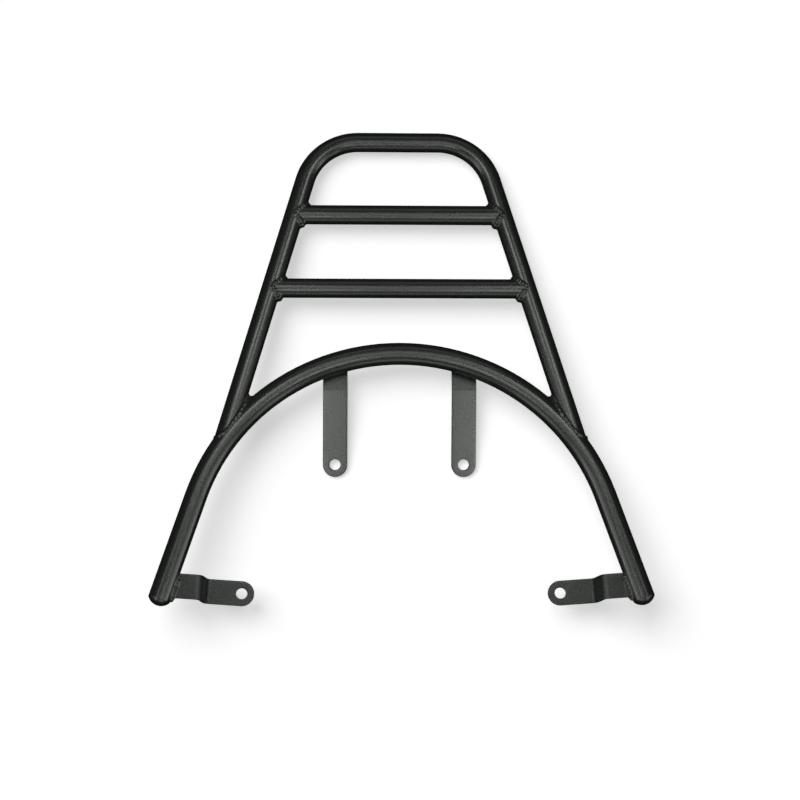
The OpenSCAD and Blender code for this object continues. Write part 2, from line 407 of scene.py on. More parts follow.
def ranged(nodes, links, value, low, high, start=0.3, stop=0.7):
    """The value, taken from start..stop to low..high."""
    node = nodes.new("ShaderNodeMapRange")
    numbers = {"From Min": start, "From Max": stop, "To Min": low, "To Max": high}
    for name, number in numbers.items():
        node.inputs[name].default_value = number
    links.new(value, node.inputs["Value"])
    return node.outputs["Result"]


def two_shades(nodes, links, factor, shader, colour, dark, light):
    """Lets the base colour drift between two shares of the colour."""
    mix = nodes.new("ShaderNodeMix")
    mix.data_type = "RGBA"
    mix.inputs["A"].default_value = (*[c * dark for c in colour], 1)
    mix.inputs["B"].default_value = (*[c * light for c in colour], 1)
    links.new(factor, mix.inputs["Factor"])
    links.new(mix.outputs["Result"], shader.inputs["Base Color"])


def powder_coat(name, colour, lumps=0.0):
    """Satin powder coat: fine orange peel, faint cloudiness and tiny grains, on steel."""
    coat = bpy.context.scene.rack_coat
    material, nodes, links, shader = new_material(name)
    where = nodes.new("ShaderNodeTexCoord").outputs["Object"]

    clouds = ranged(nodes, links, noise(nodes, links, where, CLOUD_WAVES, 3), 0, 1)
    two_shades(nodes, links, clouds, shader, colour, 1 - CLOUD_SHADE, 1 + CLOUD_SHADE)

    patches = noise(nodes, links, where, PATCH_WAVES, 3, 0.6)
    low, high = coat.roughness - PATCH_ROUGHNESS, coat.roughness + PATCH_ROUGHNESS
    links.new(ranged(nodes, links, patches, low, high), shader.inputs["Roughness"])

    peel = noise(nodes, links, where, coat.peel_scale, 2, 0.45)
    grain = noise(nodes, links, where, coat.peel_scale * GRAIN_WAVES, 1)
    height = nodes.new("ShaderNodeMath")
    height.operation = "MULTIPLY_ADD"
    links.new(grain, height.inputs[0])
    height.inputs[1].default_value = GRAIN_HEIGHT
    links.new(peel, height.inputs[2])
    bump = nodes.new("ShaderNodeBump")
    bump.inputs["Strength"].default_value = 1
    bump.inputs["Distance"].default_value = coat.peel_depth
    links.new(height.outputs["Value"], bump.inputs["Height"])
    normal = bump.outputs["Normal"]
    if lumps:
        wide = nodes.new("ShaderNodeBump")
        wide.inputs["Strength"].default_value = 1
        wide.inputs["Distance"].default_value = lumps
        links.new(noise(nodes, links, where, LUMP_WAVES, 2), wide.inputs["Height"])
        links.new(normal, wide.inputs["Normal"])
        normal = wide.outputs["Normal"]
    links.new(normal, shader.inputs["Normal"])
    shader.inputs["IOR"].default_value = COAT_IOR
    shader.inputs["Specular Tint"].default_value = COAT_TINT
    return material


def plain_floor(colour):
    """A matt, white studio floor that glows a little by itself."""
    material, nodes, links, shader = new_material("studio_floor")
    shader.inputs["Emission Color"].default_value = (1, 1, 1, 1)
    shader.inputs["Emission Strength"].default_value = bpy.context.scene.rack_stage.floor_glow
    where = nodes.new("ShaderNodeTexCoord").outputs["Object"]
    clouds = noise(nodes, links, where, FLOOR_WAVES)
    two_shades(nodes, links, clouds, shader, colour, 1 - FLOOR_SHADE, 1)
    shader.inputs["Roughness"].default_value = 0.9
    shader.inputs["Specular IOR Level"].default_value = 0.1
    return material


def coat_named(name, colour, lumps=0.0):
    """The powder coat of that name, made on first use."""
    return bpy.data.materials.get(name) or powder_coat(name, colour, lumps)


def tube_coat():
    """The coat of the round tubes."""
    return coat_named("tube_powder_coat", bpy.context.scene.rack_coat.tube_colour)


def flat_coat():
    """The coat of the flat brackets."""
    return coat_named("flat_powder_coat", bpy.context.scene.rack_coat.flat_colour)


def weld_coat():
    """The coat of the welds: that of the tubes, over lumps."""
    return coat_named("weld_powder_coat", bpy.context.scene.rack_coat.tube_colour, WELD_LUMPS)


# ---------------------------------------------------------------- shared making


def link_object(name, data):
    """A new object of that name in the scene."""
    made = bpy.data.objects.new(name, data)
    bpy.context.scene.collection.objects.link(made)
    return made


def baked(source, name, material):
    """The evaluated object as a plain mesh object of its own; the source is removed."""
    bpy.context.view_layer.update()
    graph = bpy.context.evaluated_depsgraph_get()
    mesh = bpy.data.meshes.new_from_object(source.evaluated_get(graph))
    data, kind = source.data, source.type
    bpy.data.objects.remove(source)
    (bpy.data.curves if kind == "CURVE" else bpy.data.meshes).remove(data)
    mesh.name = name
    if not mesh.polygons:
        raise RuntimeError(f"{name} came out empty")
    mesh.materials.clear()
    mesh.materials.append(material)
    return link_object(name, mesh)


def fitted(piece, slot, *nodes):
    """Ties a finished piece to the frame."""
    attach(piece, "root")
    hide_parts(*nodes)


# ---------------------------------------------------------------- flat brackets

# The flats' mesh: metres between rows on a straight run, degrees between rows in a bend, spokes
# and rings round the bolt hole, and steps over a rounded edge
ROW_PITCH, BEND_STEP = 0.004, 7.5
HOLE_SPOKES, HOLE_RINGS, EDGE_STEPS = 64, 3, 3
# How far a tab's end reaches into the wall of the arch leg, in millimetres
TAB_IN_WALL = 1.2


def folded(blank_x, height, runs, turns, bend):
    """Where a point of the flat blank goes in side view: along the runs, round the bends."""
    place = Vector((0.0, 0.0))
    angle = 0.0
    left_over = blank_x
    for run, turn in zip(runs, turns + [0.0]):
        way = Vector((math.cos(angle), math.sin(angle)))
        up = Vector((-way.y, way.x))
        if left_over <= run or turn == 0.0:
            return place + way * left_over + up * height
        place = place + way * run
        left_over -= run
        arc = bend * abs(turn)
        sign = math.copysign(1, turn)
        centre = place + up * bend * sign
        if left_over <= arc:
            swept = angle + sign * left_over / bend
            spoke = Vector((math.sin(swept), -math.cos(swept))) * sign
            return centre + spoke * (bend - sign * height)
        angle += turn
        place = centre + Vector((math.sin(angle), -math.cos(angle))) * sign * bend
        left_over -= arc


def stations(start, runs, turns, bend):
    """The places along the blank that get a row of points: close together in the bends."""
    marks, x = [start], 0.0
    for run, turn in zip(runs, turns + [0.0]):
        first = marks[-1]
        pieces = max(1, round((x + run - first) / ROW_PITCH))
        marks += [first + (x + run - first) * k / pieces for k in range(1, pieces + 1)]
        x += run
        if turn:
            arc = bend * abs(turn)
            pieces = max(3, math.ceil(math.degrees(abs(turn)) / BEND_STEP))
            marks += [x + arc * k / pieces for k in range(1, pieces + 1)]
            x += arc
    return marks


def folded_bar(name, runs, turns, radius, skew, matrix, side):
    """A flat bar with a round end about its bolt hole, punched, then folded and set in place."""
    flat = bpy.context.scene.rack_flat
    half, thick = flat.width / 2, flat.thickness
    bend = radius + thick / 2
    spokes, rings = HOLE_SPOKES, HOLE_RINGS
    eighth = spokes // 8

    def rim(i):
        """The blank's outline round the hole: a half circle behind it, a square before it."""
        turn = 2 * math.pi * i / spokes
        c, s = math.cos(turn), math.sin(turn)
        if c <= 1e-9:
            return half * c, half * s
        grow = half / max(abs(c), abs(s))
        return grow * c, grow * s

    shape = bmesh.new()
    grid = []
    for ring in range(rings + 1):
        share = ring / rings
        row = []
        for i in range(spokes):
            turn = 2 * math.pi * i / spokes
            ox, oy = rim(i)
            hx, hy = flat.hole / 2 * math.cos(turn), flat.hole / 2 * math.sin(turn)
            row.append((hx + (ox - hx) * share, hy + (oy - hy) * share))
        grid.append(row)
    marks = stations(half, runs, turns, bend)
    across = [rim(i % spokes)[1] for i in range(-eighth, eighth + 1)]
    last_fold = sum(runs[:-1]) + sum(bend * abs(t) for t in turns)

    def sheared(x, y):
        """The last run ends on a slant, along the tube that it is welded to."""
        reach = marks[-1] - last_fold
        if x <= last_fold or not skew:
            return x
        return last_fold + (x - last_fold) * (reach - y * math.tan(skew)) / reach

    faces = []
    verts = {}
    for level, z in enumerate((-thick / 2, thick / 2)):
        for ring, row in enumerate(grid):
            for i, (x, y) in enumerate(row):
                verts[level, "ring", ring, i] = shape.verts.new((x, y, z))
        for m, x in enumerate(marks):
            for j, y in enumerate(across):
                if m == 0:
                    shared = verts[level, "ring", rings, (j - eighth) % spokes]
                    verts[level, "strip", 0, j] = shared
                else:
                    verts[level, "strip", m, j] = shape.verts.new((sheared(x, y), y, z))
        for ring in range(rings):
            for i in range(spokes):
                k = (i + 1) % spokes
                faces.append([(level, "ring", ring, i), (level, "ring", ring, k),
                              (level, "ring", ring + 1, k), (level, "ring", ring + 1, i)])
        for m in range(len(marks) - 1):
            for j in range(len(across) - 1):
                faces.append([(level, "strip", m, j), (level, "strip", m + 1, j),
                              (level, "strip", m + 1, j + 1), (level, "strip", m, j + 1)])
    last, wide = len(marks) - 1, len(across) - 1
    loop = [("ring", rings, i % spokes) for i in range(eighth, spokes - eighth + 1)]
    loop += [("strip", m, 0) for m in range(1, last + 1)]
    loop += [("strip", last, j) for j in range(1, wide + 1)]
    loop += [("strip", m, wide) for m in range(last - 1, 0, -1)]
    hole = [("ring", 0, i) for i in range(spokes)]
    rims = []
    for outline in (loop, hole):
        for a, b in zip(outline, outline[1:] + outline[:1]):
            faces.append([(0, *a), (0, *b), (1, *b), (1, *a)])
            rims += [((0, *a), (0, *b)), ((1, *a), (1, *b))]
    for face in faces:
        shape.faces.new([verts[key] for key in face])
    bmesh.ops.recalc_face_normals(shape, faces=shape.faces)
    edges = [shape.edges.get((verts[a], verts[b])) for a, b in rims]
    bmesh.ops.bevel(
        shape, geom=edges, offset=flat.edge, segments=EDGE_STEPS, profile=0.5, affect="EDGES"
    )
    for vert in shape.verts:
        x, y, z = vert.co
        place = folded(x, z, runs, turns, bend)
        vert.co = matrix @ Vector((place.x, y, place.y))
        vert.co.x *= side
    if side == LEFT:
        bmesh.ops.reverse_faces(shape, faces=shape.faces)
    mesh = bpy.data.meshes.new(name)
    shape.to_mesh(mesh)
    shape.free()
    mesh.polygons.foreach_set("use_smooth", [True] * len(mesh.polygons))
    raw = link_object(name + "_raw", mesh)
    raw.modifiers.new("Even shading", "WEIGHTED_NORMAL").mode = "FACE_AREA"
    return baked(raw, name, flat_coat())


# ---------------------------------------------------------------- weld beads

# A bead's section, in millimetres: the depth of its feet and its back inside the metal, the steps
# over its face, and the depth of a pool's middle under the face, against the pool's radius
FOOT_DEPTH, BACK_DEPTH, FACE_STEPS, POOL_DEPTH = 0.3, 1.2, 6, 0.62
# Steps round a crossbar's end and a hoop leg, and points along a strap's and a tab's bead
CROSSBAR_STEPS, HOOP_STEPS, STRAP_POINTS, TAB_POINTS = 72, 96, 14, 16
# Where each kind of bead draws its pools from, counted from the seed
CROSSBAR_DRAW, HOOP_DRAW, STRAP_DRAW, TAB_DRAW = 10, 40, 60, 80
SIZE_DRAW, LENGTH_DRAW = 0, 7
# A crossbar's bead: fuller on the crown, longer at the sides, hollow and thin at the rear
CROWN_SPREAD, CROWN_LIFT, SIDE_GROWTH = 1.2, 1.5, 0.35
REAR_HOLLOW, REAR_POWER, REAR_THINNING = 0.72, 0.7, 0.5
FRONT_FULLNESS, FRONT_THICKENING = 0.15, 0.1
# A hoop joint's bead: it grows, hollows and thins from the outside to the crotch
HOOP_POOL, HOOP_RIPPLE, HOOP_LIFT = 0.95, 1.7, 1.7
OUTSIDE_LEG, CROTCH_GROWTH = 0.95, 1.55
OUTSIDE_HOLLOW, CROTCH_HOLLOW, CROTCH_THINNING = 0.1, 0.45, 0.5
# How far before and after the joint of the middle lines the leg's walls can meet the arch, in
# millimetres, and the halvings of that stretch
MEET_BEFORE, MEET_AFTER, HALVINGS = 70, 60, 40
# A strap's beads, in millimetres and radians: the margin at the strap's edges, the wider one at the
# inner edge of the rear bead, the rise of the tube at the root, the angle that the bead climbs, the
# distance of its foot from the tube's middle line, and its pool against the bead radius
STRAP_MARGIN, STRAP_REAR_MARGIN, STRAP_ROOT_RISE = 0.3, 6, 0.25
STRAP_CLIMB, STRAP_FOOT, STRAP_POOL = 0.42, 6.2, 0.8
# A tab's beads: their length against the tab's end, and how they taper at both ends
TAB_BEAD_LENGTH, TAB_TAPER, TAB_TAPER_POWER = 0.88, 0.3, 6
# The hollow and the lift of the straight beads, of the straps and of the tabs
STRAIGHT_HOLLOW, STRAP_LIFT, TAB_LIFT = 0.1, 0.3, 0.2


def bead_tree():
    """Geometry nodes that lay weld pools along a curve; the curve's radius is the pool's."""
    tree = bpy.data.node_groups.new("weld_bead", "GeometryNodeTree")
    face = tree.interface
    face.new_socket("Geometry", in_out="INPUT", socket_type="NodeSocketGeometry")
    for name, kind in (
        ("Pitch", "NodeSocketFloat"),
        ("Unevenness", "NodeSocketFloat"),
        ("Pool length", "NodeSocketFloat"),
        ("Seed", "NodeSocketInt"),
        ("Material", "NodeSocketMaterial"),
    ):
        face.new_socket(name, in_out="INPUT", socket_type=kind)
    face.new_socket("Geometry", in_out="OUTPUT", socket_type="NodeSocketGeometry")
    nodes, links = tree.nodes, tree.links
    start, stop = nodes.new("NodeGroupInput"), nodes.new("NodeGroupOutput")

    spread = nodes.new("GeometryNodeResampleCurve")
    spread.mode = "LENGTH"
    links.new(start.outputs["Geometry"], spread.inputs["Curve"])
    links.new(start.outputs["Pitch"], spread.inputs["Length"])

    pool = nodes.new("GeometryNodeMeshIcoSphere")
    pool.inputs["Radius"].default_value = 1
    pool.inputs["Subdivisions"].default_value = 4

    along = nodes.new("FunctionNodeAlignRotationToVector")
    along.axis = "Z"
    links.new(nodes.new("GeometryNodeInputTangent").outputs["Tangent"], along.inputs["Vector"])

    def random(low, high, shift):
        """A number for each pool, from its own place in the seed's list."""
        node = nodes.new("FunctionNodeRandomValue")
        node.data_type = "FLOAT"
        add = nodes.new("ShaderNodeMath")
        add.inputs[1].default_value = shift
        links.new(start.outputs["Seed"], add.inputs[0])
        links.new(add.outputs[0], node.inputs["Seed"])
        for socket, source in (("Min", low), ("Max", high)):
            inputs = [i for i in node.inputs if i.name == socket and i.enabled]
            links.new(source, inputs[0])
        return [o for o in node.outputs if o.enabled][0]

    def maths(operation, a, b):
        """One step of arithmetic on sockets or numbers."""
        node = nodes.new("ShaderNodeMath")
        node.operation = operation
        for socket, value in zip(node.inputs, (a, b)):
            if isinstance(value, (int, float)):
                socket.default_value = value
            else:
                links.new(value, socket)
        return node.outputs[0]

    low = maths("SUBTRACT", 1, start.outputs["Unevenness"])
    high = maths("ADD", 1, start.outputs["Unevenness"])
    radius = nodes.new("GeometryNodeInputRadius").outputs["Radius"]
    size = maths("MULTIPLY", radius, random(low, high, SIZE_DRAW))
    stretch = maths("MULTIPLY", start.outputs["Pool length"], random(low, high, LENGTH_DRAW))
    length = maths("MULTIPLY", size, stretch)
    scale = nodes.new("ShaderNodeCombineXYZ")
    links.new(size, scale.inputs["X"])
    links.new(size, scale.inputs["Y"])
    links.new(length, scale.inputs["Z"])

    lay = nodes.new("GeometryNodeInstanceOnPoints")
    links.new(spread.outputs["Curve"], lay.inputs["Points"])
    links.new(pool.outputs["Mesh"], lay.inputs["Instance"])
    links.new(along.outputs["Rotation"], lay.inputs["Rotation"])
    links.new(scale.outputs["Vector"], lay.inputs["Scale"])
    real = nodes.new("GeometryNodeRealizeInstances")
    links.new(lay.outputs["Instances"], real.inputs["Geometry"])
    finish = nodes.new("GeometryNodeSetMaterial")
    links.new(real.outputs["Geometry"], finish.inputs["Geometry"])
    links.new(start.outputs["Material"], finish.inputs["Material"])
    links.new(finish.outputs["Geometry"], stop.inputs["Geometry"])
    return tree


def stretched(corner, foot_a, foot_b, out, hug, lift):
    """Points round a bead's section: over its face from foot to foot, then its back in the metal.

    hug 1 makes the face hollow, 0 straight and less than 0 full; lift raises it on a crown.
    """
    middle = (foot_a + foot_b) / 2
    pull = middle + (corner - middle) * hug + out * lift
    face = []
    for k in range(FACE_STEPS + 1):
        t = k / FACE_STEPS
        face.append(foot_a * (1 - t) ** 2 + pull * 2 * t * (1 - t) + foot_b * t * t)
    return face + [corner - out * BACK_DEPTH]


def lofted(shape, sections, closed, side):
    """Adds the skin through the sections, which are in millimetres, to a bmesh."""
    rings = []
    for section in sections:
        rings.append([shape.verts.new((side * p.x * MM, p.y * MM, p.z * MM)) for p in section])
    pairs = list(zip(rings, rings[1:])) + ([(rings[-1], rings[0])] if closed else [])
    faces = []
    for one, two in pairs:
        for j in range(len(one)):
            k = (j + 1) % len(one)
            faces.append(shape.faces.new((one[j], one[k], two[k], two[j])))
    if not closed:
        faces += [shape.faces.new(rings[0][::-1]), shape.faces.new(rings[-1])]
    bmesh.ops.recalc_face_normals(shape, faces=faces)


def weld(name, seams, side, seed_shift=0, long=1.0):
    """A rippled bead along each seam; a seam is (sections, pool points with radii, closed).

    long draws the ripples out along the seam.
    """
    settings = bpy.context.scene.rack_weld
    curve = bpy.data.curves.new(name + "_path", "CURVE")
    curve.dimensions = "3D"
    for _, points, closed in seams:
        spline = curve.splines.new("POLY")
        spline.points.add(len(points) - 1)
        spline.use_cyclic_u = closed
        for target, (x, y, z, radius) in zip(spline.points, points):
            target.co = (side * x * MM, y * MM, z * MM, 1)
            target.radius = radius * MM
    path = link_object(name + "_path", curve)
    tree = bpy.data.node_groups.get("weld_bead") or bead_tree()
    nodes = path.modifiers.new("Weld pools", "NODES")
    nodes.node_group = tree
    sockets = {i.name: i.identifier for i in tree.interface.items_tree if i.in_out == "INPUT"}
    nodes[sockets["Pitch"]] = settings.pitch * long
    nodes[sockets["Unevenness"]] = settings.unevenness
    nodes[sockets["Pool length"]] = settings.stretch * long
    nodes[sockets["Seed"]] = settings.seed + seed_shift
    nodes[sockets["Material"]] = weld_coat()
    pools = baked(path, name + "_pools", weld_coat())
    shape = bmesh.new()
    shape.from_mesh(pools.data)
    for sections, _, closed in seams:
        lofted(shape, sections, closed, side)
    shape.to_mesh(pools.data)
    shape.free()
    flow = pools.modifiers.new("Flow together", "REMESH")
    flow.mode = "VOXEL"
    flow.voxel_size = settings.voxel
    flow.use_smooth_shade = True
    soften = pools.modifiers.new("Soften", "SMOOTH")
    soften.factor = 0.5
    soften.iterations = 5
    return baked(pools, name, weld_coat())


def seam_of(stations, closed):
    """A seam from stations of (corner, normal a, foot a, normal b, foot b, hug, lift, pool)."""
    sections, points = [], []
    for corner, normal_a, foot_a, normal_b, foot_b, hug, lift, pool in stations:
        out = (normal_a + normal_b).normalized()
        sunk_a, sunk_b = foot_a - normal_a * FOOT_DEPTH, foot_b - normal_b * FOOT_DEPTH
        section = stretched(corner, sunk_a, sunk_b, out, hug, lift)
        sections.append(section)
        points.append((*(section[FACE_STEPS // 2] - out * pool * POOL_DEPTH), pool))
    return sections, points, closed


def crossbar_seam(row, radius, leg):
    """The seam round a crossbar's right end: hollow towards the rear bar, full at the front."""
    y = HOOP_REAR_Y - row * CROSSBAR_PITCH
    along_bar = Vector((1, 0, 0))
    stations = []
    for i in range(CROSSBAR_STEPS):
        turn = 2 * math.pi * i / CROSSBAR_STEPS
        c, s = math.cos(turn), math.sin(turn)
        rear, front = max(0, c), max(0, -c)
        round_bar = Vector((0, c, s))
        py, pz = y + CROSSBAR_R * c, CROSSBAR_R * s
        inset = math.sqrt(max(0, HOOP_R**2 - pz**2)) / math.cos(HOOP_LEAN)
        corner = Vector((hoop_half_width(py) - inset, py, DECK_Z + pz))
        _, normal = leg_frame(corner)
        way = round_bar + along_bar * (1 - abs(c)) * CROWN_SPREAD
        way = (way - normal * way.dot(normal)).normalized()
        size = leg * (1 + SIDE_GROWTH * c**2)
        foot = corner + way * size
        middle, outward = leg_frame(foot)
        foot = middle + outward * HOOP_R
        hug = REAR_HOLLOW * rear**REAR_POWER - FRONT_FULLNESS * front
        lift = CROWN_LIFT * (1 - c**2)
        pool = radius * (1 - REAR_THINNING * rear**2 + FRONT_THICKENING * front**3)
        stations.append(
            (corner, normal, foot, round_bar, corner - along_bar * size, hug, lift, pool)
        )
    return seam_of(stations, True)


def leg_frame(point):
    """The nearest point on the middle line of the right hoop leg, and the way out to the point."""
    middle = HOOP_LEG_START + HOOP_LEG_WAY * (point - HOOP_LEG_START).dot(HOOP_LEG_WAY)
    return middle, (point - middle).normalized()


def leg_point(along, turn):
    """A point on the right hoop leg, along it from the rear bar's line."""
    middle = HOOP_LEG_START + HOOP_LEG_WAY * along
    return middle + HOOP_LEG_OUT * HOOP_R * math.cos(turn) + Vector((0, 0, HOOP_R * math.sin(turn)))


def arch_frame(point):
    """The nearest point on the middle line of the arch, and the way out to the point."""
    spoke = Vector((point.x, point.y - ARCH_CENTRE_Y, 0)).normalized()
    middle = ARCH_CENTRE + spoke * ARCH_RADIUS
    return middle, (point - middle).normalized()


def outside_arch(point):
    """Whether the point is outside the arch's tube."""
    return (arch_frame(point)[0] - point).length > ARCH_R


def hoop_seam(radius, leg):
    """The seam where the right hoop leg runs into the arch; it fills the crotch between them."""
    full = (JOIN - HOOP_LEG_START.xy).length
    stations = []
    for i in range(HOOP_STEPS):
        turn = 2 * math.pi * i / HOOP_STEPS
        near, far = full - MEET_BEFORE, full
        while outside_arch(leg_point(far, turn)) and far < full + MEET_AFTER:
            far += 1
        for _ in range(HALVINGS):
            middle = (near + far) / 2
            if outside_arch(leg_point(middle, turn)):
                near = middle
            else:
                far = middle
        corner = leg_point(far, turn)
        normal_leg = HOOP_LEG_OUT * math.cos(turn) + Vector((0, 0, math.sin(turn)))
        _, normal = arch_frame(corner)
        way = (normal_leg - normal * normal_leg.dot(normal)).normalized()
        inner = max(0, -math.cos(turn))
        size = leg * (OUTSIDE_LEG + CROTCH_GROWTH * inner**2)
        middle, outward = arch_frame(corner + way * size)
        foot = middle + outward * ARCH_R
        hug = OUTSIDE_HOLLOW + CROTCH_HOLLOW * inner
        lift = HOOP_LIFT * math.sin(turn) ** 2
        pool = radius * (1 - CROTCH_THINNING * inner**2)
        stations.append(
            (corner, normal, foot, normal_leg, corner - HOOP_LEG_WAY * size, hug, lift, pool)
        )
    return seam_of(stations, True)


# ---------------------------------------------------------------- operators


def tab_end(flat, off):
    """Where a tab ends on the line of the arch leg at off: its way, its reach and its slant."""
    way = Vector((math.cos(flat.tab_lean), math.sin(flat.tab_lean)))
    leg = ARCH_LEG_WAY
    reach = (off.x * leg.y - off.y * leg.x) / (way.x * leg.y - way.y * leg.x)
    return way, reach, math.pi / 2 - ARCH_HALF_ANGLE - flat.tab_lean


class RackOperator:
    """What the rack's operators share."""

    bl_options = {"REGISTER", "UNDO"}


class RACK_OT_tubes(RackOperator, Operator):
    """Coat the tubes, crossbars and end caps"""

    bl_idname = "rack.tubes"
    bl_label = "Coat tubes"

    def execute(self, context):
        for name in ("hoop_tube", "upper_crossbar", "lower_crossbar", "arch_tube",
                     "left_end_cap", "right_end_cap"):
            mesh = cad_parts[name].data
            mesh.materials.clear()
            mesh.materials.append(tube_coat())
        return {"FINISHED"}


class RACK_OT_straps(RackOperator, Operator):
    """Punch and fold the two straps under the arch"""

    bl_idname = "rack.straps"
    bl_label = "Straps"

    def execute(self, context):
        flat = context.scene.rack_flat
        seat_z = (DECK_Z - ARCH_R) * MM - flat.thickness / 2
        hole_y = flat.strap_bend_y - flat.strap_run * math.cos(flat.strap_angle)
        hole_z = seat_z - flat.strap_run * math.sin(flat.strap_angle)
        tangent = (flat.strap_radius + flat.thickness / 2) * math.tan(flat.strap_angle / 2)
        matrix = (
            Matrix.Translation((flat.strap_x, hole_y, hole_z))
            @ Matrix.Rotation(math.pi / 2, 4, "Z")
            @ Matrix.Rotation(-flat.strap_angle, 4, "Y")
        )
        for word, side in SIDES:
            piece = folded_bar(
                f"{word}_folded_strap",
                [flat.strap_run - tangent, flat.strap_seat - tangent],
                [-flat.strap_angle],
                flat.strap_radius,
                0,
                matrix,
                side,
            )
            fitted(piece, "flat_coat", f"{word}_strap")
        return {"FINISHED"}


class RACK_OT_tabs(RackOperator, Operator):
    """Punch and fold the two stepped tabs beside the arch legs"""

    bl_idname = "rack.tabs"
    bl_label = "Tabs"

    def execute(self, context):
        flat = context.scene.rack_flat
        bend = flat.tab_radius + flat.thickness / 2
        fall = flat.tab_step - 2 * bend * (1 - math.cos(flat.tab_slope))
        web = fall / math.sin(flat.tab_slope)
        step_run = 2 * bend * math.sin(flat.tab_slope) + web * math.cos(flat.tab_slope)
        # The tab's middle line ends a little inside the near wall of the tube
        wall = (ARCH_LEG_START + ARCH_LEG_IN * (ARCH_R - TAB_IN_WALL)) * MM
        _, reach, skew = tab_end(flat, Vector((wall.x - TAB_HOLE_X * MM, wall.y)))
        matrix = Matrix.Translation((TAB_HOLE_X * MM, 0, flat.thickness / 2)) @ Matrix.Rotation(
            flat.tab_lean, 4, "Z"
        )
        for word, side in SIDES:
            piece = folded_bar(
                f"{word}_folded_tab",
                [flat.tab_flat, web, reach - flat.tab_flat - step_run],
                [flat.tab_slope, -flat.tab_slope],
                flat.tab_radius,
                skew,
                matrix,
                side,
            )
            fitted(piece, "flat_coat", f"{word}_tab")
        return {"FINISHED"}


class RACK_OT_crossbar_welds(RackOperator, Operator):
    """Lay the beads round the ends of both crossbars"""

    bl_idname = "rack.crossbar_welds"
    bl_label = "Crossbar welds"

    def execute(self, context):
        radius = context.scene.rack_weld.radius / MM
        leg = context.scene.rack_weld.leg / MM
        for row, bar in ((1, "upper"), (2, "lower")):
            for word, side in SIDES:
                seams = [crossbar_seam(row, radius, leg)]
                piece = weld(
                    f"{bar}_crossbar_bead_{word}", seams, side, CROSSBAR_DRAW * row + side
                )
                fitted(piece, "weld_coat", f"{bar}_crossbar_weld_{word}")
        return {"FINISHED"}


class RACK_OT_hoop_welds(RackOperator, Operator):
    """Lay the long beads where the hoop runs into the arch"""

    bl_idname = "rack.hoop_welds"
    bl_label = "Hoop welds"

    def execute(self, context):
        radius = context.scene.rack_weld.radius / MM
        leg = context.scene.rack_weld.leg / MM
        for word, side in SIDES:
            seams = [hoop_seam(radius * HOOP_POOL, leg)]
            piece = weld(f"hoop_bead_{word}", seams, side, HOOP_DRAW + side, HOOP_RIPPLE)
            fitted(piece, "weld_coat", f"hoop_weld_{word}")
        return {"FINISHED"}


class RACK_OT_strap_welds(RackOperator, Operator):
    """Lay the beads between the straps and the arch"""

    bl_idname = "rack.strap_welds"
    bl_label = "Strap welds"

    def execute(self, context):
        flat = context.scene.rack_flat
        radius = context.scene.rack_weld.radius / MM
        x, half = flat.strap_x / MM, flat.width / MM / 2
        up = Vector((0, 0, 1))
        for word, side in SIDES:
            seams = []
            for way, start in ((-1, -half + STRAP_MARGIN), (1, -half + STRAP_REAR_MARGIN)):
                stations = []
                for i in range(STRAP_POINTS):
                    px = x + start + (half - STRAP_MARGIN - start) * i / (STRAP_POINTS - 1)
                    spoke = Vector((px, math.sqrt(ARCH_RADIUS**2 - px * px), 0)).normalized()
                    middle = ARCH_CENTRE + spoke * ARCH_RADIUS
                    low = -math.acos(1 - STRAP_ROOT_RISE / ARCH_R)
                    high = low - STRAP_CLIMB
                    on_tube = [
                        middle + spoke * way * -ARCH_R * math.sin(a) - up * ARCH_R * math.cos(a)
                        for a in (low, high)
                    ]
                    normals = [(p - middle).normalized() for p in on_tube]
                    foot = Vector((*(middle + spoke * way * STRAP_FOOT).xy, DECK_Z - ARCH_R))
                    stations.append((on_tube[0], normals[1], on_tube[1], up, foot,
                                     STRAIGHT_HOLLOW, STRAP_LIFT, radius * STRAP_POOL))
                seams.append(seam_of(stations, False))
            piece = weld(f"strap_bead_{word}", seams, side, STRAP_DRAW + side)
            fitted(piece, "weld_coat", f"strap_weld_{word}")
        return {"FINISHED"}


class RACK_OT_tab_welds(RackOperator, Operator):
    """Lay the beads above and below the tabs along the arch legs"""

    bl_idname = "rack.tab_welds"
    bl_label = "Tab welds"

    def execute(self, context):
        flat = context.scene.rack_flat
        radius = context.scene.rack_weld.radius / MM
        bead = context.scene.rack_weld.leg / MM
        off = Vector((ARCH_LEG_START.x - TAB_HOLE_X, ARCH_LEG_START.y))
        way, reach, skew = tab_end(flat, off)
        foot = Vector((TAB_HOLE_X + way.x * reach, way.y * reach, DECK_Z))
        half = flat.width / MM / 2 / math.cos(skew)
        thick = flat.thickness / MM / 2
        for word, side in SIDES:
            seams = []
            for up in (1, -1):
                stations = []
                for i in range(TAB_POINTS):
                    share = 2 * i / (TAB_POINTS - 1) - 1
                    middle = foot + ARCH_LEG_WAY * half * TAB_BEAD_LENGTH * share
                    size = bead * (1 - TAB_TAPER * share**TAB_TAPER_POWER)
                    low = math.asin(thick / ARCH_R)
                    on_tube = [
                        ARCH_LEG_IN * math.cos(a) + Vector((0, 0, up * math.sin(a)))
                        for a in (low, low + size / ARCH_R)
                    ]
                    corner = middle + on_tube[0] * ARCH_R
                    stations.append((corner, on_tube[1], middle + on_tube[1] * ARCH_R,
                                     Vector((0, 0, up)), corner + ARCH_LEG_IN * size,
                                     STRAIGHT_HOLLOW, TAB_LIFT, radius))
                seams.append(seam_of(stations, False))
            piece = weld(f"tab_bead_{word}", seams, side, TAB_DRAW + side)
            fitted(piece, "weld_coat", f"tab_weld_{word}")
        return {"FINISHED"}


